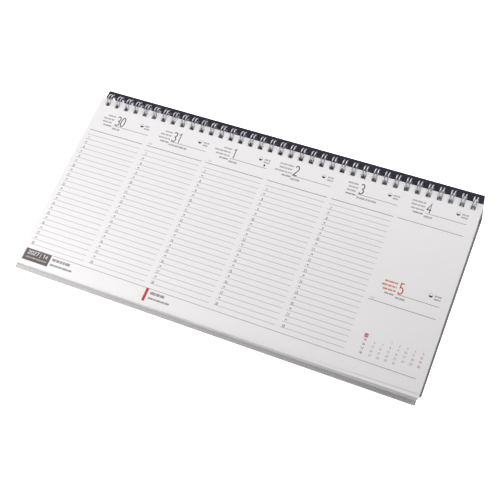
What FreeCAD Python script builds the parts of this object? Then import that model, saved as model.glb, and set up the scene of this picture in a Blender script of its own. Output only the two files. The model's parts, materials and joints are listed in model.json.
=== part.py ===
import FreeCAD, Part
import math
import os

# A desk calendar: a block of weekly pages, bound with one twin-loop wire to a card
# stand that is folded into a low wedge.
#
# Millimetres. +X runs along the row of rings, +Y to the back, +Z up. The origin is
# the middle of the base panel, on the table.
#
# The front panel has a frame of its own, the panel frame, in which the pages and the
# wire are drawn: Y runs up the slope from the nose fold, Z stands square out of the
# panel's outer face, and X is the part's own X.

# ---- Page block: the weeks that are left, all one solid ------------------------------
PAGE_WIDTH = 319.6
PAGE_HEIGHT = 156.6
BLOCK_THICKNESS = 4.0
HOLE_MARGIN = 4.85      # from the top edge of a page to the middle of its holes
REST_GAP = 0.3          # between the pages and the card that they lie on

# ---- Twin-loop wire: hairpin loops at three to the inch --------------------------------
# The round bar is drawn with flat sides and its bends with chords, to keep it light.
LOOP_PITCH = 25.4 / 3
WIRE_DIAMETER = 0.9
TWIN_SPACING = 2.4      # between the two strands of one loop
RING_UNDER_CARD = 0.65  # clear height under the front panel, inside the wedge
ROOT_RADIUS = 1.0       # bend from a strand into the bar that leads to the next loop
TIP_GAP = 0.5           # from a loop's tip to the line of those bars
END_MARGIN = 5.0        # least width of page beyond the first and the last loop
HOLE_SIDE_GAP = 0.25    # from a strand to the side of its hole
WIRE_CLEARANCE = 0.45   # from a strand to the top or bottom of its hole
RING_CHORDS = 10
TIP_CHORDS = 3
WIRE_SIDES = 6

# ---- Stand: one card, folded at the nose, the ridge and the foot ----------------------
CARD = 1.2
FOLD_RADIUS = 0.3       # inside the fold
SLOPE_DEG = 16.5
PAGE_OVERHANG = 0.5     # of the pages beyond the card, at each side
PAGE_PROUD = 2.94       # of the pages beyond the middle of the nose fold
RING_FROM_RIDGE = 8.7
FOOT_BEHIND_RIDGE = 21.8935
FRONT_LIP = 4.2
GLUE_FLAP = 22.0

# ---- Sizes that follow ------------------------------------------------------------------
SLOPE = math.radians(SLOPE_DEG)
FOLD_OUTER = FOLD_RADIUS + CARD
WIRE_RADIUS = WIRE_DIAMETER / 2
HALF_BLOCK = BLOCK_THICKNESS / 2
LOOP_COUNT = 1 + math.floor((PAGE_WIDTH - 2 * END_MARGIN) / LOOP_PITCH)
FIRST_LOOP_X = -LOOP_PITCH * (LOOP_COUNT - 1) / 2
HOLE_SIZE = TWIN_SPACING + WIRE_DIAMETER + 2 * HOLE_SIDE_GAP
RING_RADIUS = HALF_BLOCK + REST_GAP + CARD + RING_UNDER_CARD + WIRE_RADIUS
RING_OUT = REST_GAP + HALF_BLOCK


def wire_window(near, far):
    """Where the wire passes a layer that lies near to far from the ring's axis.

    Returns the least and the greatest distance along the panel, clearance included.
    """
    inner = math.sqrt((RING_RADIUS - WIRE_RADIUS) ** 2 - far ** 2)
    outer = math.sqrt((RING_RADIUS + WIRE_RADIUS) ** 2 - near ** 2)
    return inner - WIRE_CLEARANCE, outer + WIRE_CLEARANCE


# The pages hang on the wire by the top edges of their holes.
PAGE_HOLE_TOP = -wire_window(HALF_BLOCK, HALF_BLOCK)[0]
PAGE_TOP = PAGE_HOLE_TOP - HOLE_SIZE / 2 + HOLE_MARGIN
PAGE_BOTTOM = PAGE_TOP - PAGE_HEIGHT

STAND_WIDTH = PAGE_WIDTH - 2 * PAGE_OVERHANG
RING_ALONG = -PAGE_BOTTOM - PAGE_PROUD
FRONT_PANEL = RING_ALONG + RING_FROM_RIDGE
BASE_DEPTH = FRONT_LIP + 2 * FOLD_OUTER + FRONT_PANEL * math.cos(SLOPE) + FOOT_BEHIND_RIDGE

# Fold centres in the Y-Z plane. The glue flap lies on the base, under the nose fold.
NOSE = FreeCAD.Vector(0, FRONT_LIP + FOLD_OUTER - BASE_DEPTH / 2, CARD + FOLD_OUTER)
RIDGE = NOSE + FreeCAD.Vector(0, math.cos(SLOPE), math.sin(SLOPE)) * FRONT_PANEL
FOOT = FreeCAD.Vector(0, RIDGE.y + FOOT_BEHIND_RIDGE, FOLD_OUTER)


def loop_positions():
    """The X of each twin loop's middle, from left to right."""
    return [FIRST_LOOP_X + i * LOOP_PITCH for i in range(LOOP_COUNT)]


def to_part_frame(shape):
    """Carries a shape from the panel frame to the part's frame."""
    outward = FreeCAD.Vector(0, -math.sin(SLOPE), math.cos(SLOPE))
    tilt = FreeCAD.Rotation(FreeCAD.Vector(1, 0, 0), SLOPE_DEG)
    placed = shape.copy()
    placed.Placement = FreeCAD.Placement(NOSE + outward * FOLD_OUTER, tilt)
    return placed


def box_between(low, high):
    """A box from its low corner to its high corner."""
    size = [b - a for a, b in zip(low, high)]
    return Part.makeBox(*size, FreeCAD.Vector(*low))


def panel_side(a, b):
    """Unit vector square to the panel from fold a to fold b, towards its outer face."""
    run = (b - a).normalize()
    return FreeCAD.Vector(0, -run.z, run.y)


def fold_arc(centre, radius, start, end):
    """Arc of a fold about its centre, from the direction start to the direction end."""
    middle = (start + end).normalize()
    points = [centre + way * radius for way in (start, middle, end)]
    return Part.Arc(*points).toShape()


def card_side(radius, sides):
    """One face of the card, as a chain of edges from the nose round to the foot.

    Every fold turns the same way, so a panel's face is the tangent between two fold
    circles of one radius.
    """
    down, front, rear = sides
    edges = [fold_arc(NOSE, radius, down, front)]
    edges.append(Part.makeLine(NOSE + front * radius, RIDGE + front * radius))
    edges.append(fold_arc(RIDGE, radius, front, rear))
    edges.append(Part.makeLine(RIDGE + rear * radius, FOOT + rear * radius))
    edges.append(fold_arc(FOOT, radius, rear, down))
    return edges


def folded_card():
    """The stand without its holes: nose, front, ridge, rear and foot, base and flap."""
    down = FreeCAD.Vector(0, 0, -1)
    sides = (down, panel_side(NOSE, RIDGE), panel_side(RIDGE, FOOT))
    outline = card_side(FOLD_OUTER, sides) + card_side(FOLD_RADIUS, sides)
    for centre in (NOSE, FOOT):
        outline.append(Part.makeLine(centre + down * FOLD_OUTER, centre + down * FOLD_RADIUS))
    section = Part.Face(Part.Wire(Part.__sortEdges__(outline)))
    half = STAND_WIDTH / 2
    section.translate(FreeCAD.Vector(-half, 0, 0))
    bent = section.extrude(FreeCAD.Vector(STAND_WIDTH, 0, 0))
    base = box_between((-half, -BASE_DEPTH / 2, 0), (half, FOOT.y, CARD))
    flap = box_between((-half, NOSE.y, CARD), (half, NOSE.y + GLUE_FLAP, 2 * CARD))
    return bent.fuse([base, flap]).removeSplitter()


def hole_row(low, high, depth):
    """Punches for one row of holes, in the panel frame.

    low and high are the row's edges along the panel, depth its two heights.
    """
    half = HOLE_SIZE / 2
    return [
        box_between((x - half, low, depth[0]), (x + half, high, depth[1]))
        for x in loop_positions()
    ]


def folded_stand():
    """The card wedge, with a row of slots on each side of the ring's axis."""
    low, high = wire_window(RING_OUT, RING_OUT + CARD)
    depth = (-2 * CARD, CARD)
    punches = hole_row(RING_ALONG - high, RING_ALONG - low, depth)
    punches += hole_row(RING_ALONG + low, RING_ALONG + high, depth)
    return folded_card().cut([to_part_frame(punch) for punch in punches])


def page_block():
    """The pages as one solid. They hang on the rings, so both ends of the block are
    curved like the ring: a page halfway through the block hangs a little lower."""
    low, high = REST_GAP, REST_GAP + BLOCK_THICKNESS
    top, bottom = RING_ALONG + PAGE_TOP, RING_ALONG + PAGE_BOTTOM
    hole_top = RING_ALONG + PAGE_HOLE_TOP
    sag = RING_RADIUS - math.sqrt(RING_RADIUS ** 2 - HALF_BLOCK ** 2)
    half = PAGE_WIDTH / 2

    def corner(along, out):
        return FreeCAD.Vector(-half, along, out)

    outline = [
        Part.makeLine(corner(bottom, low), corner(top, low)),
        Part.Arc(corner(top, low), corner(top - sag, RING_OUT), corner(top, high)).toShape(),
        Part.makeLine(corner(top, high), corner(bottom, high)),
        Part.Arc(
            corner(bottom, high), corner(bottom - sag, RING_OUT), corner(bottom, low)
        ).toShape(),
    ]
    block = Part.Face(Part.Wire(outline)).extrude(FreeCAD.Vector(PAGE_WIDTH, 0, 0))
    punches = hole_row(hole_top - HOLE_SIZE, hole_top, (low - CARD, high + CARD))
    return to_part_frame(block.cut(punches))


def ring_point(x, angle, ahead=0.0):
    """A corner of the chorded ring in the plane x, or a point ahead of it on its tangent.

    The angle is from straight out of the panel, growing down the slope, in radians.
    The corners stand outside the true ring by as much as the chords cut inside it.
    """
    reach = RING_RADIUS * 2 / (1 + math.cos(math.pi / RING_CHORDS))
    along = RING_ALONG - reach * math.sin(angle) - ahead * math.cos(angle)
    out = RING_OUT + reach * math.cos(angle) - ahead * math.sin(angle)
    return FreeCAD.Vector(x, along, out)


def wire_points():
    """The wire's centre line, as the ends of its chords. For each loop it comes up from
    the loop's root, goes over the top, round the tip and back, then on to the next root."""
    half = TWIN_SPACING / 2
    root_angle = math.pi - math.atan(ROOT_RADIUS / RING_RADIUS)
    tip_angle = -math.pi + (TIP_GAP + half) / RING_RADIUS
    step = (tip_angle - root_angle) / RING_CHORDS
    angles = [root_angle + step * i for i in range(RING_CHORDS + 1)]
    turns = [math.pi * i / TIP_CHORDS for i in range(1, TIP_CHORDS)]
    points = []
    for x in loop_positions():
        points.append(ring_point(x - half - ROOT_RADIUS, root_angle, ROOT_RADIUS))
        points += [ring_point(x - half, angle) for angle in angles]
        for turn in turns:
            points.append(ring_point(x - half * math.cos(turn), tip_angle, -half * math.sin(turn)))
        points += [ring_point(x + half, angle) for angle in reversed(angles)]
        points.append(ring_point(x + half + ROOT_RADIUS, root_angle, ROOT_RADIUS))
    return points


def mitre(corners, point, run, normal):
    """Carries a bar's corners along its run to the mitre plane through a point."""
    return [c + run * ((point - c).dot(normal) / run.dot(normal)) for c in corners]


def mitred_bar(points, radius, sides):
    """A bar of regular section along a chain of chords, mitred where they meet.

    The section has the area of a round bar of the given radius, and every side face
    between two mitres is flat.
    """
    runs = [(b - a).normalize() for a, b in zip(points, points[1:])]
    wedge = 2 * math.pi / sides
    reach = radius * math.sqrt(wedge / math.sin(wedge))
    across = runs[0].cross(FreeCAD.Vector(0, 0, 1)).normalize()
    upright = runs[0].cross(across)
    corners = [
        points[0] + (across * math.cos(i * wedge) + upright * math.sin(i * wedge)) * reach
        for i in range(sides)
    ]
    stations = [corners]
    for point, run, following in zip(points[1:], runs, runs[1:] + runs[-1:]):
        stations.append(mitre(stations[-1], point, run, run + following))
    faces = [Part.Face(Part.makePolygon(end + end[:1])) for end in (stations[0], stations[-1])]
    for near, far in zip(stations, stations[1:]):
        for i in range(sides):
            j = (i + 1) % sides
            faces.append(Part.Face(Part.makePolygon([near[i], near[j], far[j], far[i], near[i]])))
    shell = Part.makeShell(faces)
    shell.sewShape()
    return Part.makeSolid(shell)


def twin_loop_wire():
    """One wire, bent into hairpin loops from end to end."""
    wire = mitred_bar(wire_points(), WIRE_RADIUS, WIRE_SIDES)
    return to_part_frame(wire)


def main():
    """Writes one STEP file for each piece."""
    os.makedirs("parts", exist_ok=True)
    pieces = {
        "folded_stand": folded_stand(),
        "page_block": page_block(),
        "twin_loop_wire": twin_loop_wire(),
    }
    for name, shape in pieces.items():
        print(name, shape.isValid(), len(shape.Solids), round(shape.Volume, 1), shape.BoundBox)
        shape.exportStep("parts/" + name + ".step")


main()
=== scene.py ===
import json
import math

import bpy
import numpy as np
from mathutils import Matrix, Vector


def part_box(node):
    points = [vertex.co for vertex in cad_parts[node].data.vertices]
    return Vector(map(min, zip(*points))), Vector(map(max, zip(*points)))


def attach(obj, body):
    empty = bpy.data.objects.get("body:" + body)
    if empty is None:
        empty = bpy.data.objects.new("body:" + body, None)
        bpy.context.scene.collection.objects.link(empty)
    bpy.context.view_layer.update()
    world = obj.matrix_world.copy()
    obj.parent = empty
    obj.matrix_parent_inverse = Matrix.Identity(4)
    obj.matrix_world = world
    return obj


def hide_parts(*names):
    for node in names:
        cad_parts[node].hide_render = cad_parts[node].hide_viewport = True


# A desk calendar: forty printed leaves on a row of twin wire loops, lying on a card
# stand that is folded into a low wedge.
#
# Lengths are written in millimetres and become metres when a mesh is made. Pages and
# wire are drawn in the panel frame: x along the row of rings, "along" up the slope from
# the rings' axis and "out" square to the panel, away from it.

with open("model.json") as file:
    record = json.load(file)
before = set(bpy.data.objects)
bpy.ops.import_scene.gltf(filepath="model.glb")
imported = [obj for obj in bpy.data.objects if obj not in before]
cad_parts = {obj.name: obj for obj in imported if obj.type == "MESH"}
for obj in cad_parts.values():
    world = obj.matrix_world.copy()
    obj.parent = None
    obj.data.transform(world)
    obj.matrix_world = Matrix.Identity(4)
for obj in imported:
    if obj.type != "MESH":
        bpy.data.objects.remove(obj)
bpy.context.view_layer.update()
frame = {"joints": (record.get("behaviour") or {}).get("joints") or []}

MM = 0.001

# ---- The rings' axis and the panel's slope ----
AXIS = np.array(frame["joints"][0]["pos_m"]) / MM
SLOPE = math.radians(16.5)
UP_SLOPE = np.array([0.0, math.cos(SLOPE), math.sin(SLOPE)])
OUTWARD = np.array([0.0, -math.sin(SLOPE), math.cos(SLOPE)])
HALF_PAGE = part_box("page_block")[1].x / MM
HALF_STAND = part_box("folded_stand")[1].x / MM

# ---- Leaves ----
LEAF_COUNT = 40
LEAF_PITCH = 0.1
LEAF_THICKNESS = 0.088
HALF_BLOCK = 2.0
PAGE_TOP = -0.236
PAGE_BOTTOM = -156.836
HOLE_TOP = -3.186
HOLE_SIZE = 3.8
LEAF_TURN = 0.0037          # the leaves hang a little turned on their loose rings
TOP_LEAF_TURN = 0.013       # and the one on top more
TOP_LEAF_LIFT = 0.1         # its free corner stands off the leaves below
LIFT_FROM = (-20.0, 70.0)   # where that lift starts: across the page, down the page
TOP_LEAF_ROWS = 25          # grid lines down the top leaf, below its holes
RIGHT_TRIM = 0.6            # of the leaves, at the right of the ring row
RIGHT_LEAN = (0.9, 2.7)     # more at the bottom right corner: top leaf, lowest leaf
LEFT_SHORT = 0.8            # of the lowest leaves, at the left of the bottom edge
LEAF_SHY = 0.03             # the stack's ends stand back from the top leaf's by this
LEAF_SHIFT = 0.06           # and each leaf is shifted, trimmed and skewed by up to this
LEAF_SEED = 7
HOLE_MARGIN = 1.0           # round the row of holes, down the page
END_MARGIN = 3.0            # from an end of a page or of the card to where its holes may be

# ---- Wire ----
LOOP_PITCH = 25.4 / 3
LOOP_COUNT = 37
RING_RADIUS = 4.6
WIRE_RADIUS = 0.45
WIRE_SIDES = 10
HALF_TWIN = 1.2
ROOT_BEND = 1.0
TIP_GAP = 0.5
BEND_STEPS = 5              # along a quarter bend, a strand and the half circle at a tip
STRAND_STEPS = 29
TIP_STEPS = 10
LOOPS = (np.arange(LOOP_COUNT) - (LOOP_COUNT - 1) / 2) * LOOP_PITCH

# ---- Card stand ----
CARD = 1.2
FOLD_INNER = 0.3
FOLD_OUTER = FOLD_INNER + CARD
RING_OUT = 2.3              # from the panel's face up to the rings' axis
RING_FROM_RIDGE = 8.7
RING_ALONG = 153.896        # from the nose fold to the rings' axis
FOOT_BEHIND_RIDGE = 21.8935
FRONT_LIP = 4.2
GLUE_FLAP = 22.0
GLUE_LINE = 0.03
SLOT_NEAR = 1.780           # the two rows of slots, along the panel from the rings' axis
SLOT_FAR = 4.946
LINER_BAND = (9.05, 17.0)    # down from the ridge, where the card under the holes takes the liner's colour instead of the laminate
LIP_TRIM = 0.5              # of the lip's front edge
LIP_END = 156.9             # right end of the lip, where the blank's corner is cut
LEFT_OVER = 1.9             # the left end runs out by this from the ridge to the base
RIM = (0.7, 1.6)            # width of the inner face's bands at the two sides, in the board's darker colour as painted shade: at the lip, elsewhere
CORNER_CUT = (8.0, 8.7)     # from the front edge back to where the cut starts and ends
RIDGE_END = 157.6           # right end of the card at the ridge
PANEL_END = (158.1, 156.7)  # and of the front panel, below the ridge and at the nose
FOLD_CLEAR = 1.2            # from a fold to the first line across the flat beside it
# Lines across the card on its flats: back from the front edge on the lip and the base, up
# from the foot, down from the ridge and back from the nose. Then the steps round each fold.
LIP_LINES = (LIP_TRIM, 1.3, 3.4, CORNER_CUT[0])
BASE_LINES = (CORNER_CUT[1], 28.0, 95.0, 160.0)
REAR_LINES = (20.0, 40.0)
PANEL_LINES = (40.0, 80.0, 120.0)
FLAP_LINES = (FOLD_CLEAR, 8.0, GLUE_FLAP)
FOOT_STEPS = 10
RIDGE_STEPS = 8
NOSE_STEPS = 14
SHARP_ANGLE = math.radians(35.0)
SAME_PLACE = 0.01           # points nearer than this are taken as at one place

# ---- Colours, as a colour picker gives them ----
NAVY = (49, 47, 58)
WORN = (68, 66, 74)
LINER = (232, 231, 230)
# Cut board edges, and the painted shade on the card's inner side bands
BOARD_AND_RIM_SHADE = (136, 133, 132)
LIP_EDGE = (156, 153, 152)
PAPER = (223, 221, 222)
# The leaves' cut edges: the paper darkened as painted shade between the leaves
SHADED_PAPER_EDGE = (172, 170, 169)
INK = (42, 42, 45)
INK_SOFT = (146, 145, 147)
CAPTION_GREY = (168, 167, 169)
MARK_GREY = (205, 204, 206)
CAPTION_RED = (206, 120, 112)
RULE_GREY = (160, 161, 164)
RED = (178, 55, 45)
DEEP_RED = (172, 52, 48)
LINE_RED = (132, 58, 60)
WARM_BLACK = (98, 92, 89)
BOX_LINE = (162, 155, 152)
SILVER = (186, 185, 192)
FLOOR = (250, 250, 250)
WHITE = (1.0, 1.0, 1.0, 1.0)

# ---- Surface detail ----
FIBRE_SCALE = 2600.0        # noise cells in a metre: paper's fibre, its clouds, rubbed patches
CLOUD_SCALE = 60.0
WEAR_SCALE = 420.0
WEAR_FROM = 0.62            # a patch starts to rub through here, less this share of Amount
WEAR_REACH = 0.3
WEAR_FULL = 0.72
LAMINATE_ROUGHNESS = (0.48, 0.66)
WIRE_ROUGHNESS = (0.38, 0.58)
WIRE_STRETCH = (0.35, 24.0, 1.0)  # drawing lines: few along the wire, many round it

# ---- Studio, in metres and watts ----
FLOOR_LEVEL = -2e-4
FLOOR_REACH = 4.0
CAMERA_PLACE = (0.179272, -0.421516, 0.535944)
CAMERA_RIGHT = (0.921325, 0.388706, -0.008315)
CAMERA_UP = (-0.292218, 0.706417, 0.644658)
SENSOR_WIDTH = 36.0         # both in millimetres
LENS = 64.552
NEAREST = 0.01
ROOM_LIGHT = 0.044
# Each light: its name, its place, the length of its sides and its power.
SOFT_LIGHTS = (
    ("back_right_softbox", (0.325, 0.325, 0.655), 0.5, 3.94),
    ("back_softbox", (0.0, 0.459, 0.655), 0.5, 1.81),
    ("back_left_softbox", (-0.449, 0.449, 0.296), 0.5, 2.88),
    ("front_left_softbox", (-0.449, -0.449, 0.296), 0.5, 1.43),
    ("low_left_panel", (-0.25, -0.30, 0.15), 0.2, 0.57),
    ("front_panel", (-0.20, -0.40, 0.40), 0.3, 0.45),
)


def linear(colour):
    """The linear colour of a picked one: each share to the power that screens use."""
    share = np.array(colour) / 255.0
    value = np.where(share <= 0.04045, share / 12.92, ((share + 0.055) / 1.055) ** 2.4)
    return (*value.tolist(), 1.0)


def smooth_step(value, low, high):
    """Zero below low, one above high, and between them 3t^2 - 2t^3."""
    t = np.clip((value - low) / (high - low), 0.0, 1.0)
    return t * t * (3.0 - 2.0 * t)


def from_panel(x, along, out):
    """The panel frame's point in the part's frame: axis + x + along * slope + out * normal."""
    x, along, out = np.broadcast_arrays(x, along, out)
    place = AXIS + along[..., None] * UP_SLOPE + out[..., None] * OUTWARD
    place[..., 0] = x
    return place


# ---- Meshes ----

FACE, BACK, WALL = 0, 1, 2  # the side of a sheet that a quad belongs to


def make_piece(name, points, quads, materials, body, face_material=None, attributes=None):
    """Puts arrays of points (mm) and quads into a flat shaded mesh piece at the origin."""
    mesh = bpy.data.meshes.new(name)
    mesh.vertices.add(len(points))
    mesh.vertices.foreach_set("co", (points * MM).astype(np.float32).ravel())
    mesh.loops.add(quads.size)
    mesh.loops.foreach_set("vertex_index", quads.astype(np.int32).ravel())
    mesh.polygons.add(len(quads))
    mesh.polygons.foreach_set("loop_start", np.arange(len(quads), dtype=np.int32) * 4)
    if face_material is not None:
        mesh.polygons.foreach_set("material_index", face_material.astype(np.int32))
    for label, values in (attributes or {}).items():
        layer = mesh.attributes.new(label, "FLOAT", "POINT")
        layer.data.foreach_set("value", values.astype(np.float32))
    mesh.update(calc_edges=True)
    mesh.validate()
    mesh.shade_flat()
    for material in materials:
        mesh.materials.append(material)
    piece = bpy.data.objects.new(name, mesh)
    bpy.context.scene.collection.objects.link(piece)
    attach(piece, body)
    return piece


def sheet_solid(face, back, closed):
    """A sheet with holes, from two grids of points, its face and its back.

    closed says which cells of the grid are card or paper. Each of those gives a quad on
    both sides, and each edge between such a cell and an open one, or the outside, gives
    a wall. The face looks along x cross the direction of the rows. Returns the points,
    the quads and the side that each quad belongs to.
    """
    rows, columns = face.shape[:2]
    index = np.arange(rows * columns).reshape(rows, columns)
    other = index + rows * columns
    i, j = np.nonzero(closed)
    top = np.stack([index[i, j], index[i, j + 1], index[i + 1, j + 1], index[i + 1, j]], 1)
    bottom = np.stack([other[i, j], other[i + 1, j], other[i + 1, j + 1], other[i, j + 1]], 1)
    grown = np.pad(closed, 1)
    below, above = grown[:-1, 1:-1], grown[1:, 1:-1]
    left, right = grown[1:-1, :-1], grown[1:-1, 1:]
    walls = []
    i, j = np.nonzero(above & ~below)
    walls.append(np.stack([index[i, j + 1], index[i, j], other[i, j], other[i, j + 1]], 1))
    i, j = np.nonzero(below & ~above)
    walls.append(np.stack([index[i, j], index[i, j + 1], other[i, j + 1], other[i, j]], 1))
    i, j = np.nonzero(right & ~left)
    walls.append(np.stack([index[i, j], index[i + 1, j], other[i + 1, j], other[i, j]], 1))
    i, j = np.nonzero(left & ~right)
    walls.append(np.stack([index[i + 1, j], index[i, j], other[i, j], other[i + 1, j]], 1))
    points = np.concatenate([face.reshape(-1, 3), back.reshape(-1, 3)])
    quads = np.concatenate([top, bottom] + walls)
    side = np.full(len(quads), WALL)
    side[: len(top)] = FACE
    side[len(top) : 2 * len(top)] = BACK
    return points, quads, side


def join_parts(parts):
    """Joins (points, quads, ...) parts into one set of arrays, shifting the numbering."""
    counts = np.cumsum([0] + [len(part[0]) for part in parts])
    points = np.concatenate([part[0] for part in parts])
    quads = np.concatenate([part[1] + start for part, start in zip(parts, counts)])
    rest = [np.concatenate(values) for values in zip(*[part[2:] for part in parts])]
    return (points, quads, *rest)


def hole_columns(half_width, trim=0.0, spare=0):
    """Grid lines along x: the two ends, the sides of every hole and spare lines between."""
    sides = (LOOPS[:, None] + np.array([-0.5, 0.5]) * HOLE_SIZE).ravel()
    lines = [np.array([-half_width, half_width - trim]), sides]
    if spare:
        lines.append(LOOPS[:-1] + LOOP_PITCH / 2)
    return np.sort(np.concatenate(lines))


def over_hole(lines):
    """For each cell between grid lines along x, whether it lies over a hole."""
    middle = (lines[1:] + lines[:-1]) / 2
    return np.abs(middle[:, None] - LOOPS).min(axis=1) < HOLE_SIZE / 2


# ---- Materials ----

def add_node(tree, kind, settings=None, **inputs):
    """Adds a node and sets its settings and its inputs, which are given by name or, after
    an underline, by number. An output given as an input is linked to it."""
    node = tree.nodes.new(kind)
    for key, value in (settings or {}).items():
        setattr(node, key, value)
    for key, value in inputs.items():
        numbered = key[1:].isdigit()
        socket = node.inputs[int(key[1:]) if numbered else key.replace("_", " ")]
        if isinstance(value, bpy.types.NodeSocket):
            tree.links.new(value, socket)
        else:
            socket.default_value = value
    return node


def new_group(name, inputs, outputs):
    """An empty shader group with named inputs (name, kind, value) and outputs."""
    tree = bpy.data.node_groups.new(name, "ShaderNodeTree")
    for label, kind, value in inputs:
        socket = tree.interface.new_socket(label, in_out="INPUT", socket_type=kind)
        socket.default_value = value
    for label, kind in outputs:
        tree.interface.new_socket(label, in_out="OUTPUT", socket_type=kind)
    return tree, tree.nodes.new("NodeGroupInput").outputs, tree.nodes.new("NodeGroupOutput").inputs


def math_node(tree, operation, first, second):
    """One step of arithmetic between two values or sockets."""
    settings = {"operation": operation}
    return add_node(tree, "ShaderNodeMath", settings, _0=first, _1=second).outputs[0]


def fibre_group():
    """Paper fibre: fine noise times broad clouds. Tone is one less twice that product
    times Mottle; Height is the fine noise."""
    tree, given, result = new_group(
        "paper_fibre",
        [("Size", "NodeSocketFloat", 1.0), ("Mottle", "NodeSocketFloat", 0.03)],
        [("Tone", "NodeSocketFloat"), ("Height", "NodeSocketFloat")],
    )
    place = tree.nodes.new("ShaderNodeTexCoord").outputs["Object"]
    fine = math_node(tree, "DIVIDE", FIBRE_SCALE, given["Size"])
    broad = math_node(tree, "DIVIDE", CLOUD_SCALE, given["Size"])
    fibre = add_node(tree, "ShaderNodeTexNoise", None, Vector=place, Scale=fine, Detail=3.0)
    cloud = add_node(tree, "ShaderNodeTexNoise", None, Vector=place, Scale=broad, Detail=2.0)
    mix = math_node(tree, "MULTIPLY", fibre.outputs["Fac"], cloud.outputs["Fac"])
    drop = math_node(tree, "MULTIPLY", math_node(tree, "MULTIPLY", mix, 2.0), given["Mottle"])
    tree.links.new(math_node(tree, "SUBTRACT", 1.0, drop), result["Tone"])
    tree.links.new(fibre.outputs["Fac"], result["Height"])
    return tree


def wear_group():
    """Edge wear: noise times the Edge value, through a smooth step that starts lower as
    Amount grows, so that only parts of an edge rub through."""
    tree, given, result = new_group(
        "edge_wear",
        [("Edge", "NodeSocketFloat", 0.0), ("Amount", "NodeSocketFloat", 0.5)],
        [("Mask", "NodeSocketFloat")],
    )
    place = tree.nodes.new("ShaderNodeTexCoord").outputs["Object"]
    patch = add_node(
        tree, "ShaderNodeTexNoise", None, Vector=place, Scale=WEAR_SCALE, Detail=4.0
    )
    level = math_node(tree, "MULTIPLY", patch.outputs["Fac"], given["Edge"])
    reach = math_node(tree, "MULTIPLY", given["Amount"], WEAR_REACH)
    start = math_node(tree, "SUBTRACT", WEAR_FROM, reach)
    step = add_node(
        tree, "ShaderNodeMapRange", {"interpolation_type": "SMOOTHSTEP"},
        Value=level, From_Min=start, From_Max=WEAR_FULL,
    )
    tree.links.new(step.outputs[0], result["Mask"])
    return tree


FIBRE = fibre_group()
WEAR = wear_group()


def place_group(tree, group, **inputs):
    """Places a shared group in a material's tree with its own values."""
    node = tree.nodes.new("ShaderNodeGroup")
    node.node_tree = group
    for key, value in inputs.items():
        if isinstance(value, bpy.types.NodeSocket):
            tree.links.new(value, node.inputs[key])
        else:
            node.inputs[key].default_value = value
    return node.outputs


def new_material(name, roughness, metallic=0.0, specular=0.5):
    """An empty material with its own shader: returns the material, its tree and shader."""
    material = bpy.data.materials.new(name)
    material.use_nodes = True
    shader = material.node_tree.nodes["Principled BSDF"]
    shader.inputs["Roughness"].default_value = roughness
    shader.inputs["Metallic"].default_value = metallic
    shader.inputs["Specular IOR Level"].default_value = specular
    return material, material.node_tree, shader


def tinted(tree, colour, tone):
    """A colour times a value that changes over the surface."""
    scale = add_node(
        tree, "ShaderNodeVectorMath", {"operation": "SCALE"}, _0=linear(colour)[:3], Scale=tone
    )
    return scale.outputs[0]


def value_between(tree, value, limits):
    """A value from 0 to 1 spread evenly between two limits."""
    low, high = limits
    spread = add_node(tree, "ShaderNodeMapRange", None, Value=value, To_Min=low, To_Max=high)
    return spread.outputs[0]


def add_bump(tree, shader, height, depth, strength=0.5):
    """Feeds a height to the shader's normal; depth is in millimetres."""
    bump = add_node(
        tree, "ShaderNodeBump", None, Strength=strength, Distance=depth * MM, Height=height
    )
    tree.links.new(bump.outputs[0], shader.inputs["Normal"])


def fibre_material(name, colour, size, mottle, depth, roughness):
    """Paper, board or ink on paper: one colour with the fibre's mottle and relief."""
    material, tree, shader = new_material(name, roughness, specular=0.3)
    fibre = place_group(tree, FIBRE, Size=size, Mottle=mottle)
    tree.links.new(tinted(tree, colour, fibre["Tone"]), shader.inputs["Base Color"])
    add_bump(tree, shader, fibre["Height"], depth)
    return material


def laminate_material():
    """Dark laminated paper over the board: fibre under a satin film, rubbed light at folds."""
    material, tree, shader = new_material("navy_laminate", 0.55, specular=0.06)
    fibre = place_group(tree, FIBRE, Size=1.6, Mottle=0.16)
    edge = add_node(tree, "ShaderNodeAttribute", {"attribute_name": "wear"}).outputs["Fac"]
    worn = place_group(tree, WEAR, Edge=edge, Amount=0.3)["Mask"]
    mix = add_node(
        tree, "ShaderNodeMix", {"data_type": "RGBA"},
        _0=worn, _6=tinted(tree, NAVY, fibre["Tone"]), _7=linear(WORN),
    )
    tree.links.new(mix.outputs[2], shader.inputs["Base Color"])
    rough = value_between(tree, fibre["Height"], LAMINATE_ROUGHNESS)
    tree.links.new(rough, shader.inputs["Roughness"])
    add_bump(tree, shader, fibre["Height"], 0.02)
    return material


def wire_material():
    """Silver coated wire: drawing lines run along it, so the noise is stretched along its UV."""
    material, tree, shader = new_material("silver_wire", 0.3, metallic=1.0)
    along = add_node(tree, "ShaderNodeUVMap", {"uv_map": "along_wire"}).outputs[0]
    spread = add_node(tree, "ShaderNodeMapping", None, Vector=along, Scale=WIRE_STRETCH)
    lines = add_node(
        tree, "ShaderNodeTexNoise", None, Vector=spread.outputs[0], Scale=1.0, Detail=3.0
    )
    fibre = place_group(tree, FIBRE, Size=3.0, Mottle=0.12)
    tree.links.new(tinted(tree, SILVER, fibre["Tone"]), shader.inputs["Base Color"])
    rough = value_between(tree, lines.outputs["Fac"], WIRE_ROUGHNESS)
    tree.links.new(rough, shader.inputs["Roughness"])
    add_bump(tree, shader, lines.outputs["Fac"], 0.02, strength=0.35)
    return material


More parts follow.
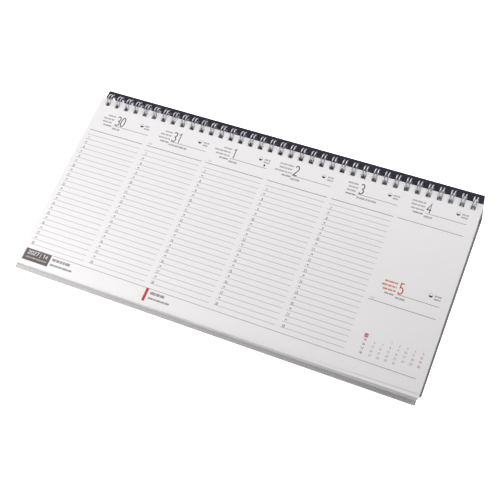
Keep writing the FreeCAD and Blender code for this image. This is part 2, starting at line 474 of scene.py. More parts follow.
# Each finish: its name, colour, size of fibre, mottle, relief in millimetres and roughness.
paper = fibre_material("page_paper", PAPER, 1.0, 0.02, 0.012, 0.7)
# The leaves' outer edges: paper darkened as painted shade of the gaps between leaves
shaded_page_edge = fibre_material("shaded_page_edge", SHADED_PAPER_EDGE, 0.6, 0.10, 0.03, 0.85)
liner = fibre_material("card_liner", LINER, 1.4, 0.08, 0.03, 0.75)
# Board at the cut edges; on the inner face's side bands this colour is painted shade
board_and_rim_shade = fibre_material("cut_board_and_rim_shade", BOARD_AND_RIM_SHADE, 1.2, 0.22, 0.06, 0.9)
lip_edge = fibre_material("cut_lip_edge", LIP_EDGE, 1.2, 0.15, 0.05, 0.9)
laminate = laminate_material()
wire_finish = wire_material()
ink = fibre_material("ink_black", INK, 0.8, 0.10, 0.01, 0.5)
soft_ink = fibre_material("ink_soft", INK_SOFT, 0.8, 0.10, 0.01, 0.55)
caption_ink = fibre_material("ink_caption", CAPTION_GREY, 0.8, 0.10, 0.01, 0.6)
red_caption = fibre_material("ink_red_caption", CAPTION_RED, 0.8, 0.10, 0.01, 0.6)
box_line = fibre_material("ink_box_line", BOX_LINE, 0.8, 0.10, 0.01, 0.5)
rule_ink = fibre_material("ink_rule", RULE_GREY, 0.8, 0.08, 0.01, 0.6)
red_ink = fibre_material("ink_red", RED, 0.8, 0.10, 0.01, 0.5)
deep_red = fibre_material("ink_deep_red", DEEP_RED, 0.8, 0.10, 0.01, 0.5)
line_red = fibre_material("ink_line_red", LINE_RED, 0.8, 0.10, 0.01, 0.5)
mark_ink = fibre_material("ink_mark", MARK_GREY, 0.8, 0.06, 0.01, 0.6)
warm_ink = fibre_material("ink_warm_black", WARM_BLACK, 1.2, 0.14, 0.01, 0.45)


# ---- Card stand ----

def turned(angle):
    """Unit vector in the Y-Z plane, at an angle from +Y towards +Z."""
    return np.array([math.cos(angle), math.sin(angle)])


def card_path():
    """The stand's card as one strip: its inner and outer line in the Y-Z plane, the wear
    and the right end at each of its stations, and the stations where the slots start.

    From the lip's front edge the strip goes back along the base, round the foot, up the
    rear, round the ridge, down the front past two rows of slots, round the nose and back
    under it as the glue flap. A fold is two arcs about one centre; a panel lies between
    two parallel tangents.
    """
    front_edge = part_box("folded_stand")[0].y / MM
    nose = np.array([front_edge + FRONT_LIP + FOLD_OUTER, CARD + FOLD_OUTER + GLUE_LINE])
    ridge = AXIS[1:] + UP_SLOPE[1:] * RING_FROM_RIDGE - OUTWARD[1:] * (RING_OUT + FOLD_OUTER)
    foot = np.array([ridge[0] + FOOT_BEHIND_RIDGE, FOLD_OUTER])
    fall = ridge - foot
    rear_way = math.atan2(fall[1], fall[0]) - math.pi / 2
    front_way = SLOPE + math.pi / 2
    inner, outer, wear, ends = [], [], [], []

    def station(middle, way, worn, end):
        """One line across the strip, square to the card, and its right end."""
        inner.append(middle + way * FOLD_INNER)
        outer.append(middle + way * FOLD_OUTER)
        wear.append(worn)
        ends.append(end)

    def fold(centre, start, stop, steps, end):
        """An arc of stations about a fold's centre."""
        for angle in np.linspace(start, stop, steps + 1):
            station(centre, turned(angle), 1.0, end)

    down = turned(-math.pi / 2)
    base_top = CARD + FOLD_INNER
    for back in LIP_LINES:
        station(np.array([front_edge + back, base_top]), down, float(back == LIP_TRIM), LIP_END)
    for back in BASE_LINES:
        station(np.array([front_edge + back, base_top]), down, 0.0, HALF_STAND)
    station(foot - np.array([FOLD_CLEAR, 0.0]), down, 0.0, HALF_STAND)
    fold(foot, -math.pi / 2, rear_way, FOOT_STEPS, HALF_STAND)
    height = np.linalg.norm(fall)
    for up in (FOLD_CLEAR, *REAR_LINES, height - FOLD_CLEAR):
        end = HALF_STAND + (RIDGE_END - HALF_STAND) * up / height
        station(foot + fall * up / height, turned(rear_way), 0.0, end)
    fold(ridge, rear_way, front_way, RIDGE_STEPS, RIDGE_END)
    slope_line = RING_ALONG + RING_FROM_RIDGE
    run = (nose - ridge) / slope_line
    slots = [RING_FROM_RIDGE + d for d in (-SLOT_FAR, -SLOT_NEAR, SLOT_NEAR, SLOT_FAR)]
    first_slot = len(inner) + 1
    near_slots = (*slots[:2], LINER_BAND[0], *slots[2:], LINER_BAND[1])
    for down_panel in (FOLD_CLEAR, *near_slots, *PANEL_LINES, slope_line - FOLD_CLEAR):
        end = np.interp(down_panel, (0.0, slots[0], slope_line), (RIDGE_END, *PANEL_END))
        station(ridge + run * down_panel, turned(front_way), 0.0, end)
    fold(nose, front_way, 3 * math.pi / 2, NOSE_STEPS, PANEL_END[1])
    for back in FLAP_LINES:
        station(nose + np.array([back, 0.0]), down, 0.0, PANEL_END[1])
    strip = [np.array(values) for values in (inner, outer, wear, ends)]
    return *strip, (first_slot, first_slot + 3)


def card_stand():
    """The folded card: its path swept along x, with a cell left open for every slot.

    Lined inside and laminated outside, it is bare board at the cut edges; the bands along its two
    sides inside take the board's darker colour as painted shade.
    The liner also shows in a band under the holes and on the walls of the slots there.
    """
    inner, outer, wear, ends, slot_rows = card_path()
    rim = HALF_STAND - RIM[1]
    columns = np.sort(np.concatenate([hole_columns(HALF_STAND), [-rim, rim]]))
    rims = np.where(ends == LIP_END, RIM[0], RIM[1])
    left = HALF_STAND + LEFT_OVER * (1.0 - outer[:, 1] / outer[:, 1].max())
    grid = np.zeros((2, len(inner), len(columns), 3))
    grid[..., 0] = columns
    grid[..., 0, 0] = -left
    grid[..., 1, 0] = rims - left
    grid[..., -2, 0] = ends - rims
    grid[..., -1, 0] = ends
    grid[0, :, :, 1:] = inner[:, None]
    grid[1, :, :, 1:] = outer[:, None]
    closed = np.ones((len(inner) - 1, len(columns) - 1), bool)
    for row in slot_rows:
        closed[row] = ~over_hole(columns)
    points, quads, side = sheet_solid(grid[0], grid[1], closed)
    row, cell = np.nonzero(closed)
    # These are places in the list of materials below, where BACK is the laminate.
    lined, board, lip = FACE, WALL, 3
    # Painted shade: the inner face's cells at the two sides take the board's darker colour.
    side[: len(cell)][(cell == 0) | (cell == len(columns) - 2)] = board
    side[len(cell) : 2 * len(cell)][np.abs(row - slot_rows[1]) <= 1] = lined
    along = ((points - AXIS) @ UP_SLOPE)[quads].mean(axis=1)
    inland = np.abs(points[quads, 0]).max(axis=1) < HALF_STAND - END_MARGIN
    side[(side == board) & inland & (along < 0.0)] = lined
    front_wall = np.abs(points[quads, 1] - points[0, 1]).max(axis=1) < SAME_PLACE
    side[front_wall] = lip
    rubbed = np.maximum(wear[:, None], np.abs(columns) > rim + SAME_PLACE).ravel()
    piece = make_piece(
        "card_stand", points, quads, [liner, laminate, board_and_rim_shade, lip_edge], "stand",
        side, {"wear": np.tile(rubbed, 2)},
    )
    piece.data.shade_smooth()
    piece.data.set_sharp_from_angle(angle=SHARP_ANGLE)
    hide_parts("folded_stand")
    return piece


# ---- Wire ----

def wire_line():
    """The wire's centre line on the rings' cylinder, unrolled to (x, s) with s = radius * angle.

    The angle is from straight out of the panel, growing down the slope. Each loop is a
    quarter bend out of the root bar, a straight strand, a half circle at the tip, the
    other strand and a quarter bend back.
    """
    root = math.pi * RING_RADIUS
    tip = -root + TIP_GAP + HALF_TWIN
    quarter = np.linspace(0.0, math.pi / 2, BEND_STEPS + 1)
    half_turn = np.linspace(0.0, math.pi, TIP_STEPS + 1)[1:-1]
    strand = np.linspace(root - ROOT_BEND, tip, STRAND_STEPS + 1)
    bend_x = -HALF_TWIN - ROOT_BEND + ROOT_BEND * np.sin(quarter)
    bend_s = root - ROOT_BEND + ROOT_BEND * np.cos(quarter)
    rising = np.stack([np.concatenate([bend_x, np.full(STRAND_STEPS, -HALF_TWIN)]),
                       np.concatenate([bend_s, strand[1:]])], 1)
    turn = np.stack([-HALF_TWIN * np.cos(half_turn), tip - HALF_TWIN * np.sin(half_turn)], 1)
    falling = rising[::-1] * np.array([-1.0, 1.0])
    loop = np.concatenate([rising, turn, falling])
    line = np.tile(loop, (LOOP_COUNT, 1))
    line[:, 0] += np.repeat(LOOPS, len(loop))
    return line


def binding_wire():
    """A round tube along the wire's line. The radial direction is square to the line at
    every point, so it and its cross product with the tangent carry the tube's circle."""
    line = wire_line()
    angle = line[:, 1] / RING_RADIUS
    centre = from_panel(line[:, 0], -RING_RADIUS * np.sin(angle), RING_RADIUS * np.cos(angle))
    radial = -np.sin(angle)[:, None] * UP_SLOPE + np.cos(angle)[:, None] * OUTWARD
    tangent = np.gradient(centre, axis=0)
    tangent /= np.linalg.norm(tangent, axis=1)[:, None]
    radial -= tangent * (radial * tangent).sum(axis=1)[:, None]
    radial /= np.linalg.norm(radial, axis=1)[:, None]
    across = np.cross(tangent, radial)
    turn = np.arange(WIRE_SIDES) * (2 * math.pi / WIRE_SIDES)
    circle = radial[:, None] * np.cos(turn)[:, None] + across[:, None] * np.sin(turn)[:, None]
    points = (centre[:, None] + circle * WIRE_RADIUS).reshape(-1, 3)
    stations = np.arange(len(line) - 1)[:, None] * WIRE_SIDES
    side = np.arange(WIRE_SIDES)[None, :]
    after = (side + 1) % WIRE_SIDES
    quads = np.stack([stations + side, stations + after, stations + after + WIRE_SIDES,
                      stations + side + WIRE_SIDES], -1).reshape(-1, 4)
    last = (len(line) - 1) * WIRE_SIDES
    fan = np.arange(0, WIRE_SIDES - 2, 2)[:, None]
    start_cap = np.concatenate([fan * 0, fan + 3, fan + 2, fan + 1], 1) % WIRE_SIDES
    end_cap = last + np.concatenate([fan * 0, fan + 1, fan + 2, fan + 3], 1) % WIRE_SIDES
    quads = np.concatenate([quads, start_cap, end_cap])
    piece = make_piece("binding_wire", points, quads, [wire_finish], "stand")
    length = np.concatenate([[0.0], np.cumsum(np.linalg.norm(np.diff(centre, axis=0), axis=1))])
    corner = quads.ravel()
    around = np.tile([0.0, 1.0, 1.0, 0.0], len(quads)) + np.repeat(quads[:, 0] % WIRE_SIDES, 4)
    uv = np.stack([length[corner // WIRE_SIDES], around / WIRE_SIDES], 1)
    layer = piece.data.uv_layers.new(name="along_wire")
    layer.data.foreach_set("uv", uv.astype(np.float32).ravel())
    piece.data.shade_smooth()
    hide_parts("twin_loop_wire")
    return piece


# ---- Leaves ----

def hang(out):
    """How much lower a leaf at that height hangs: the half width of the ring's circle
    there, less its half width at the block's faces."""
    return math.sqrt(RING_RADIUS ** 2 - out ** 2) - math.sqrt(RING_RADIUS ** 2 - HALF_BLOCK ** 2)


def leaf_edge(x, depth):
    """Where a leaf ends down the slope: the upper leaves are turned a little, the lowest
    ones hang square and are shorter at the left; depth goes from 0 on top to 1 below."""
    turned_edge = PAGE_BOTTOM + LEAF_TURN * (x - LOOPS[0])
    low_edge = PAGE_BOTTOM + LEFT_SHORT * (1.0 - smooth_step(x, -HALF_PAGE, 0.0))
    return turned_edge + (low_edge - turned_edge) * depth


def leaned(x, down, depth):
    """Leans a leaf's right side in, in proportion to the way down and to x from the left."""
    lean = RIGHT_LEAN[0] + (RIGHT_LEAN[1] - RIGHT_LEAN[0]) * depth
    return x - lean * down * (x + HALF_PAGE) / (2 * HALF_PAGE)


def outer_edge(points, quads, side):
    """Which quads are a leaf's outer edge, and not its face, its back or a hole's wall."""
    along = (points - AXIS) @ UP_SLOPE
    middle = along[quads].mean(axis=1)
    x = np.abs(points[quads, 0].mean(axis=1))
    near_row = (middle < -HOLE_MARGIN) & (middle > HOLE_TOP - HOLE_SIZE - HOLE_MARGIN)
    hole = near_row & (x < HALF_PAGE - END_MARGIN)
    return (side == WALL) & ~hole


def leaf_stack():
    """All leaves but the top one. Each is a thin sheet with its own small shift and skew;
    the lowest ones fan out at the right of the bottom edge."""
    rng = np.random.default_rng(LEAF_SEED)
    columns = hole_columns(HALF_PAGE, RIGHT_TRIM)
    closed = np.ones((3, len(columns) - 1), bool)
    closed[1] = ~over_hole(columns)
    down = np.array([1.0, 0.0, 0.0, 0.0])[:, None]
    parts = []
    for leaf in range(LEAF_COUNT - 1):
        out = -HALF_BLOCK + (leaf + 0.5) * LEAF_PITCH
        depth = (HALF_BLOCK - out) / (2 * HALF_BLOCK)
        drop = hang(out)
        shift, trim, skew = rng.uniform(-LEAF_SHIFT, LEAF_SHIFT, 3)
        edge = leaf_edge(columns, depth) - drop + trim + skew * columns / HALF_PAGE
        rows = [HOLE_TOP - HOLE_SIZE - drop, HOLE_TOP - drop, PAGE_TOP + skew - drop]
        along = np.stack([edge] + [np.full(len(columns), row) for row in rows])
        x = leaned(columns * (1.0 - (LEAF_SHY + abs(shift)) / HALF_PAGE), down, depth)
        face = from_panel(x, along, out + LEAF_THICKNESS / 2)
        back = from_panel(x, along, out - LEAF_THICKNESS / 2)
        parts.append(sheet_solid(face, back, closed))
    points, quads, side = join_parts(parts)
    # The outer edges take the darkened paper, painted shade between the leaves.
    piece = make_piece("leaf_stack", points, quads, [paper, shaded_page_edge], "pages",
                       outer_edge(points, quads, side))
    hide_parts("page_block")
    return piece


def leaf_height(x, along):
    """Height of the top leaf's face over the rings' axis: flat, but its free corner lifts."""
    right = smooth_step(x, LIFT_FROM[0], HALF_PAGE)
    low = smooth_step(-along, LIFT_FROM[1], -PAGE_BOTTOM)
    return HALF_BLOCK - (LEAF_PITCH - LEAF_THICKNESS) / 2 + TOP_LEAF_LIFT * right * low


def top_leaf():
    """The leaf that shows. Grid lines at even steps run down from the holes to its turned
    bottom edge, so that it can lift at its free corner."""
    columns = hole_columns(HALF_PAGE, RIGHT_TRIM, spare=1)
    hole_end = HOLE_TOP - HOLE_SIZE
    bottom = PAGE_BOTTOM + TOP_LEAF_TURN * (columns - LOOPS[0])
    down = np.linspace(1.0, 0.0, TOP_LEAF_ROWS)[:, None]
    along = hole_end + (bottom - hole_end) * down
    along = np.concatenate([along, np.tile([[HOLE_TOP], [PAGE_TOP]], len(columns))])
    down = np.concatenate([down, np.zeros((2, 1))])
    closed = np.ones((len(along) - 1, len(columns) - 1), bool)
    closed[-2] = ~over_hole(columns)
    x = leaned(columns, down, 0.0)
    height = leaf_height(x, along)
    face = from_panel(x, along, height)
    back = from_panel(x, along, height - LEAF_THICKNESS)
    points, quads, side = sheet_solid(face, back, closed)
    # The outer edges take the darkened paper, painted shade between the leaves.
    return make_piece("top_leaf", points, quads, [paper, shaded_page_edge], "pages",
                      outer_edge(points, quads, side))


# ---- Print ----
# Print is drawn on the page in u, v: u to the right from the first hole's middle and v
# down from the top rule. It is a film that stands a little proud of the paper. A box is
# its left, top, right and bottom; a place is how far right and down it is.

PAGE_LEFT = LOOPS[0]
TOP_RULE = -30.9
FILM_PROUD = 0.02
FILM_SUNK = 0.02
PRINT_DOWN = 0.457          # the print's place on the leaf, which is turned with it
HEADING_TURN = -0.0058      # the headings run a little up to the right of the rules
COLUMN_PITCH = 52.015
RULE_PITCH = 4.4975
RULE_COUNT = 25
RULE_END = 43.36
RULE_START = -4.0
WORKDAYS = 5
WEEK = 7
SATURDAY = WORKDAYS * COLUMN_PITCH
SUNDAY_DOWN = 67.55
MITRE_LIMIT = 0.5
DISC_STEPS = 15

# Words are rows of bars: how long a bar is, the gap after it, and where no more start.
WORD_LENGTHS = (1.8, 4.8)
WORD_GAP = 0.4
LAST_WORD = 0.8
HEADING_SEED = 21
FOOT_SEED = 5

# A numeral's body is 0.6 wide and 1 high, with its foot at 0. A digit's step and the gap in
# it are shares of its width. A stroke is a row of points and arcs. An arc is its middle, its
# two radii, the degrees where it starts and ends, and its share of points.
BODY_WIDTH = 0.6
DIGIT_STEP = 1.2
DIGIT_GAP = 0.2
FINE_ARC = 6
PLAIN_ARC = 3
FULL_ROUND = (0, 360)
STROKES = {
    "0": (((0.3, 0.5, 0.27, 0.48, 0, 360, 4),),),
    "1": (((0.12, 0.80), (0.36, 0.97), (0.36, 0.02)),),
    "2": (((0.3, 0.71, 0.25, 0.26, 160, -35, 3), (0.05, 0.03), (0.57, 0.03)),),
    "3": (((0.27, 0.735, 0.24, 0.235, 150, -80, 3), (0.27, 0.26, 0.28, 0.24, 80, -150, 3)),),
    "4": (((0.43, 0.0), (0.43, 0.95), (0.04, 0.30), (0.58, 0.30)),),
    "5": (((0.52, 0.97), (0.14, 0.97), (0.27, 0.31, 0.28, 0.29, 120, -150, 3)),),
    "6": (((0.3, 0.29, 0.26, 0.27, 0, 360, 4),), ((0.56, 0.29, 0.52, 0.68, 180, 100, 2),)),
    "7": (((0.04, 0.97), (0.56, 0.97), (0.20, 0.0)),),
    "8": (((0.3, 0.745, 0.22, 0.23, 0, 360, 4),), ((0.3, 0.265, 0.26, 0.24, 0, 360, 4),)),
}

# Headings are measured right and down from where a day's column meets the top rule.
HEADING_DOWN = 0.16
SUNDAY_HEADING_DOWN = SUNDAY_DOWN + 0.86
NUMERAL_PLACE = (13.2, -9.4)
NUMERAL_HEIGHT = 8.8
NUMERAL_WIDTH = 0.4
NUMERAL_PEN = 0.75
SUNDAY_PEN = 0.85
CAPTION_ROWS = (-16.1, -13.0, -9.9)
LAST_CAPTION_ROW = -6.9
CAPTION_END = 11.6
CAPTION_HEIGHT = 1.3
LAST_CAPTION_HEIGHT = 1.2
NAME_HEIGHT = 1.6
NAME_START = 12.7
NAME_END = 19.8
LONG_NAME_END = 28.4
NAME_ROW = -5.3
HEADING_LINE = (12.9, 44.0)
HEADING_LINE_UP = 8.6
LATER_LINE_UP = 0.2         # and this much more in every column after the first
DISC_PLACE = (36.1, -15.6)
DISC_RADIUS = 1.45
RING_PLACE_DOWN = -15.7
RING_RADII = (1.4, 1.5)
RING_PEN = 0.3
RING_STEPS = 17
THIN_PEN = 0.32
TIMES_SPAN = (38.8, 43.6)
TIMES_ROWS = (-15.4, -13.0)
DAY_MARK = (-3.6, -3.2, -0.6, -1.6)
DAY_SIGN = (143.8, -12.3, 145.0, -10.5)
LONG_NAMES = ("31", "3")
MARKED_DAYS = ("31", "1", "5")
# Each day: its numeral, how far right its heading stands, where its four captions start.
HEADINGS = (
    ("30", 0.6, (5.3, 2.4, 2.8, 4.6)),
    ("31", -0.6, (5.0, 2.0, 1.5, 4.1)),
    ("1", -0.9, (4.1, -2.5, -0.5, 3.5)),
    ("2", -1.0, (-0.5, 0.0, -2.7, 3.9)),
    ("3", -0.2, (3.0, 4.0, 3.7, 3.7)),
    ("4", 0.0, (1.1, 1.1, 1.8, 4.0)),
    ("5", 0.0, (2.0, 0.6, 2.2, 4.4)),
)

# Hours: each column starts a little earlier than the one before, up to a limit.
EARLIER = 0.6
MOST_EARLY = 1.0
RULE_DROP = 0.25            # the rules lie this much below their even steps,
RULE_FAN = 0.002            # less this share of u: at the top rule all of it, at the last none
TOP_RULE_PEN = 0.38
TOP_RULE_OVER = 0.3
HOUR_RULE_PEN = 0.36
WEEKEND_RULES = (-0.4, SUNDAY_DOWN)
WEEKEND_SPAN = (-4.9, 44.3)
FIRST_HOUR = 6
HOUR_PLACE = (-0.9, -0.2)
HOUR_HEIGHT = 2.2
HOUR_PEN = 0.27
HALF_HOUR = (-2.5, -2.3, -0.9, -1.1)

# The small month: its weeks below each other, seven days beside each.
MONTH_TOP = 95.2
WEEK_PITCH = 3.3
WEEK_COUNT = 5
FIRST_WEEK = 14
MONTH_DAYS = 30
FIRST_COLUMN = 2            # where the month's first day stands
WEEK_RIGHT = 263.8
DAY_RIGHT = 270.4
DAY_PITCH = 5.69
MONTH_FIGURE = 1.7
MONTH_WIDTH = 0.5
WEEK_PEN = 0.26
DAY_PEN = 0.23
WEEK_FLAG = (261.6, 92.8, 264.2, 95.7)
FLAG_FIGURE = (95.1, 1.6, 0.2)          # its foot, height and pen

# The foot: the dark box with its figures, and the captions as (start, end, down, height).
WEEK_BOX = (-4.3, 112.0, 17.9, 121.8)
BOX_BAR = (9.0, 113.3, 9.35, 117.2)
BOX_FIGURE = 3.0
BOX_PEN = 0.44
YEAR = ("2027", -1.9, 116.4)
YEAR_WIDTH = 0.68
WEEK_PLACE = (15.4, 116.5)
WEEK_WIDTH = 0.64
BOX_CAPTION = (-2.0, 15.9, 119.5, 1.1)
FOOT_CAPTIONS = (
    (19.5, 34.8, 116.3, 2.3),
    (19.5, 38.2, 120.2, 1.6),
    (103.0, 115.4, 116.4, 2.2),
    (103.0, 120.0, 120.2, 1.5),
)
FOOT_LINE = (18.3, 304.3, 112.1)
FOOT_LINE_PEN = 0.3
FOOT_LINE_STEPS = 36
FOOT_LINE_FALL = 0.9
MONTH_BAR = (98.8, 112.3, 100.9, 122.7)


def on_page(u, v, lift):
    """Points of the page, lift above the top leaf's face."""
    x = PAGE_LEFT + u + LEAF_TURN * v
    along = TOP_RULE - PRINT_DOWN - v + LEAF_TURN * u
    return from_panel(x, along, leaf_height(x, along) + lift)


def film_ribbon(path, width, loop=False, layer=1):
    """A flat stroke of ink: its path is offset by half its width to both sides along the
    mitred normal, and the two lines are joined above and below into a closed film."""
    path = np.asarray(path, float)
    if loop:
        run = np.roll(path, -1, axis=0) - np.roll(path, 1, axis=0)
    else:
        run = np.gradient(path, axis=0)
        run[1:-1] = unit(path[1:-1] - path[:-2]) + unit(path[2:] - path[1:-1])
    run = unit(run)
    normal = np.stack([-run[:, 1], run[:, 0]], 1)
    spread = np.full(len(path), width / 2)
    if not loop and len(path) > 2:
        cosine = (unit(path[1:-1] - path[:-2]) * run[1:-1]).sum(axis=1)
        spread[1:-1] /= np.maximum(cosine, MITRE_LIMIT)
    left, right = path - normal * spread[:, None], path + normal * spread[:, None]
    return film_between(left, right, loop, layer)


def unit(vectors):
    """Each row at length one."""
    return vectors / np.maximum(np.linalg.norm(vectors, axis=-1, keepdims=True), 1e-9)


def film_between(left, right, loop=False, layer=1):
    """A closed film between two lines of points on the page; layer 2 lies on other ink."""
    count = len(left)
    line = np.concatenate([left, right, left, right])
    lift = np.repeat([FILM_PROUD * layer, -FILM_SUNK], 2 * count)
    points = on_page(line[:, 0], line[:, 1], lift)
    i = np.arange(count if loop else count - 1)
    k = (i + 1) % count
    a, b, c, d = 0, count, 2 * count, 3 * count
    quads = [
        np.stack([a + i, a + k, b + k, b + i], 1),
        np.stack([c + i, d + i, d + k, c + k], 1),
        np.stack([a + i, c + i, c + k, a + k], 1),
        np.stack([b + i, b + k, d + k, d + i], 1),
    ]
    if not loop:
        end = count - 1
        quads.append(np.array([[a, b, d, c], [a + end, c + end, d + end, b + end]]))
    return points, np.concatenate(quads)


def film_boxes(boxes, layer=1):
    """Many straight bars of ink at once, each (u0, v0, u1, v1)."""
    boxes = np.asarray(boxes, float)
    u = boxes[:, [0, 2, 2, 0, 0, 2, 2, 0]].ravel()
    v = boxes[:, [1, 1, 3, 3, 1, 1, 3, 3]].ravel()
    lift = np.tile(np.repeat([FILM_PROUD * layer, -FILM_SUNK], 4), len(boxes))
    corners = np.array([[0, 3, 2, 1], [4, 5, 6, 7], [0, 1, 5, 4],
                        [1, 2, 6, 5], [2, 3, 7, 6], [3, 0, 4, 7]])
    quads = (np.arange(len(boxes))[:, None, None] * 8 + corners).reshape(-1, 4)
    return on_page(u, v, lift), quads


def film_half_disc(u, v, radius):
    """The lower half of a disc, as a band from its chord out to its arc."""
    angle = np.linspace(0.0, math.pi, DISC_STEPS)
    rim = np.stack([u + radius * np.cos(angle), v + radius * np.sin(angle)], 1)
    chord = np.stack([u + radius * np.cos(angle), np.full(DISC_STEPS, v)], 1)
    return film_between(chord, rim)


def rule(u0, u1, v, width, steps=6, fall=0.0):
    """A straight rule, in steps so that it follows the leaf; it ends fall lower."""
    u = np.linspace(u0, u1, steps + 1)
    return film_ribbon(np.stack([u, np.linspace(v, v + fall, steps + 1)], 1), width)


def arc(centre_x, centre_y, radius_x, radius_y, start, end, count):
    """Points on an ellipse, from one angle to another in degrees."""
    angle = np.radians(np.linspace(start, end, count))
    return np.stack([centre_x + radius_x * np.cos(angle), centre_y + radius_y * np.sin(angle)], 1)


def digit_strokes(digit, fine):
    """A numeral's strokes as (points, closed) pairs, with more points on arcs when fine.
    A 9 is a 6 turned half round."""
    share = FINE_ARC if fine else PLAIN_ARC
    strokes = []
    for stroke in STROKES["6" if digit == "9" else digit]:
        closed = stroke[0][4:6] == FULL_ROUND
        runs = [
            arc(*item[:6], item[6] * share + closed) if len(item) > 2 else [item]
            for item in stroke
        ]
        points = np.concatenate(runs)[: -1 if closed else None]
        if digit == "9":
            points = np.array([BODY_WIDTH, 1.0]) - points
        strokes.append((points, closed))
    return strokes


def number(text, u, v, height, pen, fine=False, right=True, width=0.45, layer=1):
    """A plain number with its foot at v and its right or left end at u.

    width is a digit's width as a share of its height.
    """
    wide = height * width
    start = u - wide * (DIGIT_STEP * len(text) - DIGIT_GAP) if right else u
    films = []
    for place, digit in enumerate(text):
        for points, closed in digit_strokes(digit, fine):
            points = np.asarray(points, float) * np.array([wide / BODY_WIDTH, -height])
            points += np.array([start + place * DIGIT_STEP * wide, v])
            films.append(film_ribbon(points, pen, closed, layer))
    return films


def caption(rng, u0, u1, v, height):
    """A line of words left blank: a row of short bars, as long as words, up to u1."""
    boxes = []
    at = u0
    while at < u1 - LAST_WORD:
        end = min(at + rng.uniform(*WORD_LENGTHS), u1)
        boxes.append((at, v - height, end, v))
        at = end + WORD_GAP
    return boxes


def box_at(u, v, box):
    """A bar's corners, moved to u and v."""
    return u + box[0], v + box[1], u + box[2], v + box[3]


def printed(name, films, material):
    """One piece for all the films of an ink."""
    points, quads = join_parts(films)
    return make_piece(name, points, quads, [material], "pages")


def headings():
    """Day headings: big numeral, caption lines beside and below it, thin red line, disc."""
    rng = np.random.default_rng(HEADING_SEED)
    numerals, words, soft_words, discs, rings, lines, marks = [], [], [], [], [], [], []
    red_words, red_numeral = [], []
    for day, (label, late, starts) in enumerate(HEADINGS):
        sunday = day == WEEK - 1
        u = COLUMN_PITCH * min(day, WORKDAYS)
        base = SUNDAY_HEADING_DOWN if sunday else HEADING_DOWN
        v = base + HEADING_TURN * u
        at = u + late
        end = u + CAPTION_END + late / 3
        figure = number(
            label, at + NUMERAL_PLACE[0], v + NUMERAL_PLACE[1], NUMERAL_HEIGHT,
            SUNDAY_PEN if sunday else NUMERAL_PEN, fine=True, right=False, width=NUMERAL_WIDTH,
        )
        (red_numeral if sunday else numerals).extend(figure)
        for start, down in zip(starts, CAPTION_ROWS):
            line = caption(rng, u + start, end, v + down, CAPTION_HEIGHT)
            (red_words if sunday else words).extend(line)
        last = v + LAST_CAPTION_ROW
        soft_words += caption(rng, u + starts[-1], end, last, LAST_CAPTION_HEIGHT)
        name_end = LONG_NAME_END if label in LONG_NAMES else NAME_END
        words += caption(rng, at + NAME_START, at + name_end, v + NAME_ROW, NAME_HEIGHT)
        line_down = v - HEADING_LINE_UP - LATER_LINE_UP * (u > 0)
        lines.append(rule(at + HEADING_LINE[0], at + HEADING_LINE[1], line_down, THIN_PEN))
        disc = u + DISC_PLACE[0] + late / 2
        discs.append(film_half_disc(disc, v + DISC_PLACE[1], DISC_RADIUS))
        ring = arc(disc, v + RING_PLACE_DOWN, *RING_RADII, 180, 360, RING_STEPS)
        rings.append(film_ribbon(ring, RING_PEN))
        left, right = u + TIMES_SPAN[0], u + TIMES_SPAN[1]
        for down in TIMES_ROWS:
            words += caption(rng, left, right, v + down, CAPTION_HEIGHT)
        if label in MARKED_DAYS:
            marks.append(box_at(u, base, DAY_MARK))
    discs.append(film_boxes([DAY_SIGN]))
    printed("day_numerals", numerals, ink)
    printed("day_captions", [film_boxes(words)], caption_ink)
    printed("day_dark_captions", [film_boxes(soft_words)], soft_ink)
    printed("day_discs", discs, ink)
    printed("day_rings", rings, rule_ink)
    printed("day_marks", [film_boxes(marks)], mark_ink)
    printed("heading_lines", lines, line_red)
    printed("sunday_numeral", red_numeral, deep_red)
    printed("sunday_captions", [film_boxes(red_words)], red_caption)


def hour_table():
    """The ruled hours: a dark top rule, grey rules at even steps below it, and an hour or
    a half hour's mark beside each."""
    top, grey, hours, halves = [], [], [], []
    for column in range(WORKDAYS):
        u = COLUMN_PITCH * column
        early = min(EARLIER * column, MOST_EARLY)
        start = u + RULE_START - early
        for line in range(RULE_COUNT):
            v = RULE_PITCH * line + RULE_DROP - RULE_FAN * u * (1 - line / (RULE_COUNT - 1))
            if line == 0:
                top.append(rule(start, u + RULE_END + TOP_RULE_OVER, v, TOP_RULE_PEN))
                continue
            grey.append(rule(start, u + RULE_END, v, HOUR_RULE_PEN))
            if line % 2 == 0:
                hour = str(FIRST_HOUR + line // 2)
                right = u + HOUR_PLACE[0] - early
                hours += number(hour, right, v + HOUR_PLACE[1], HOUR_HEIGHT, HOUR_PEN)
            elif line > 1:
                halves.append(box_at(u - early, v, HALF_HOUR))
    for v in WEEKEND_RULES:
        top.append(rule(SATURDAY + WEEKEND_SPAN[0], SATURDAY + WEEKEND_SPAN[1], v, THIN_PEN))
    printed("top_rules", top, ink)
    printed("hour_rules", grey, rule_ink)
    printed("hour_numbers", hours, ink)
    printed("half_hour_marks", [film_boxes(halves)], rule_ink)


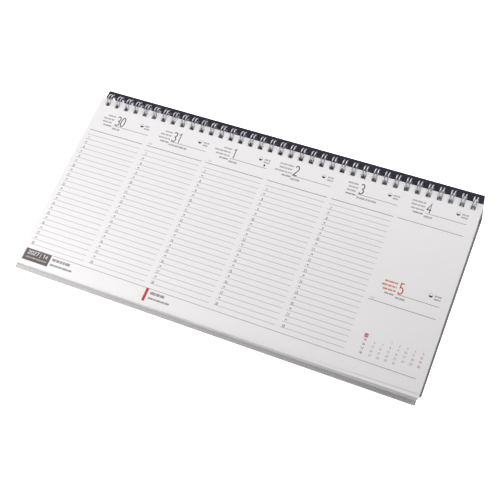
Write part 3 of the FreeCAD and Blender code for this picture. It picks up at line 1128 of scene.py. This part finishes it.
def month_grid():
    """The small month: week numbers, the days in rows beside them, a red box at the first week."""
    days, red_days, weeks = [], [], []
    for week in range(WEEK_COUNT):
        v = MONTH_TOP + WEEK_PITCH * week
        if week:
            label = str(FIRST_WEEK + week)
            weeks += number(label, WEEK_RIGHT, v, MONTH_FIGURE, WEEK_PEN, width=MONTH_WIDTH)
        for day in range(WEEK):
            date = WEEK * week + day - FIRST_COLUMN + 1
            if 1 <= date <= MONTH_DAYS:
                right = DAY_RIGHT + DAY_PITCH * day
                figure = number(str(date), right, v, MONTH_FIGURE, DAY_PEN, width=MONTH_WIDTH)
                (red_days if day == WEEK - 1 else days).extend(figure)
    printed("month_days", days, soft_ink)
    printed("month_sundays", red_days, deep_red)
    printed("month_weeks", weeks, ink)
    printed("week_flag", [film_boxes([WEEK_FLAG])], red_ink)
    flag = number(str(FIRST_WEEK), WEEK_RIGHT, *FLAG_FIGURE, width=MONTH_WIDTH, layer=2)
    printed("week_flag_figure", flag, paper)


def foot_line():
    """The foot of the page: red line, dark week box with white figures, month marks."""
    rng = np.random.default_rng(FOOT_SEED)
    printed("week_box", [film_boxes([WEEK_BOX])], warm_ink)
    style = {"height": BOX_FIGURE, "pen": BOX_PEN, "fine": True, "layer": 2}
    figures = number(*YEAR, right=False, width=YEAR_WIDTH, **style)
    figures += number(str(FIRST_WEEK), *WEEK_PLACE, width=WEEK_WIDTH, **style)
    figures.append(film_boxes([BOX_BAR], layer=2))
    printed("week_figures", figures, paper)
    line = caption(rng, *BOX_CAPTION)
    printed("week_box_line", [film_boxes(line, layer=2)], box_line)
    marks = [box for row in FOOT_CAPTIONS for box in caption(rng, *row)]
    printed("month_captions", [film_boxes(marks)], soft_ink)
    red = rule(*FOOT_LINE, FOOT_LINE_PEN, FOOT_LINE_STEPS, FOOT_LINE_FALL)
    printed("foot_red_line", [red], line_red)
    printed("month_bar", [film_boxes([MONTH_BAR])], red_ink)


card_stand()
binding_wire()
leaf_stack()
top_leaf()
headings()
hour_table()
month_grid()
foot_line()


# ---- Studio ----

def studio_floor():
    """A plain pale floor, a little under the card: one square that glows evenly."""
    mesh = bpy.data.meshes.new("floor")
    corners = ((-1, -1), (1, -1), (1, 1), (-1, 1))
    places = [(FLOOR_REACH * x, FLOOR_REACH * y, FLOOR_LEVEL) for x, y in corners]
    mesh.from_pydata(places, [], [(0, 1, 2, 3)])
    floor = bpy.data.objects.new("floor", mesh)
    bpy.context.scene.collection.objects.link(floor)
    material, _, shader = new_material("floor_paint", 0.9, specular=0.0)
    shader.inputs["Base Color"].default_value = linear(FLOOR)
    shader.inputs["Emission Color"].default_value = WHITE
    shader.inputs["Emission Strength"].default_value = 1.0
    mesh.materials.append(material)


def soft_light(name, place, side, watts):
    """A square area light that looks at the middle of the card's base."""
    data = bpy.data.lights.new(name, "AREA")
    data.shape = "RECTANGLE"
    data.size = side
    data.size_y = side
    data.energy = watts
    lamp = bpy.data.objects.new(name, data)
    lamp.location = place
    aim = Vector((0.0, 0.0, 0.0)) - Vector(place)
    lamp.rotation_euler = aim.to_track_quat("-Z", "Y").to_euler()
    bpy.context.scene.collection.objects.link(lamp)


def studio_camera():
    """The camera: its place, and its own axes as the columns of its turn. The third axis,
    out of its back, is right cross up."""
    right = Vector(CAMERA_RIGHT)
    up = Vector(CAMERA_UP)
    turn = Matrix((right, up, right.cross(up))).transposed().to_4x4()
    data = bpy.data.cameras.new("camera")
    data.sensor_width = SENSOR_WIDTH
    data.lens = LENS
    data.clip_start = NEAREST
    camera = bpy.data.objects.new("camera", data)
    camera.matrix_world = Matrix.Translation(Vector(CAMERA_PLACE)) @ turn
    bpy.context.scene.collection.objects.link(camera)
    bpy.context.scene.camera = camera


def room_light():
    """A weak even light from all round."""
    world = bpy.data.worlds.new("studio")
    world.use_nodes = True
    background = world.node_tree.nodes["Background"]
    background.inputs["Color"].default_value = WHITE
    background.inputs["Strength"].default_value = ROOM_LIGHT
    bpy.context.scene.world = world


studio_floor()
for light in SOFT_LIGHTS:
    soft_light(*light)
studio_camera()
room_light()
bpy.context.scene.view_settings.view_transform = "Standard"
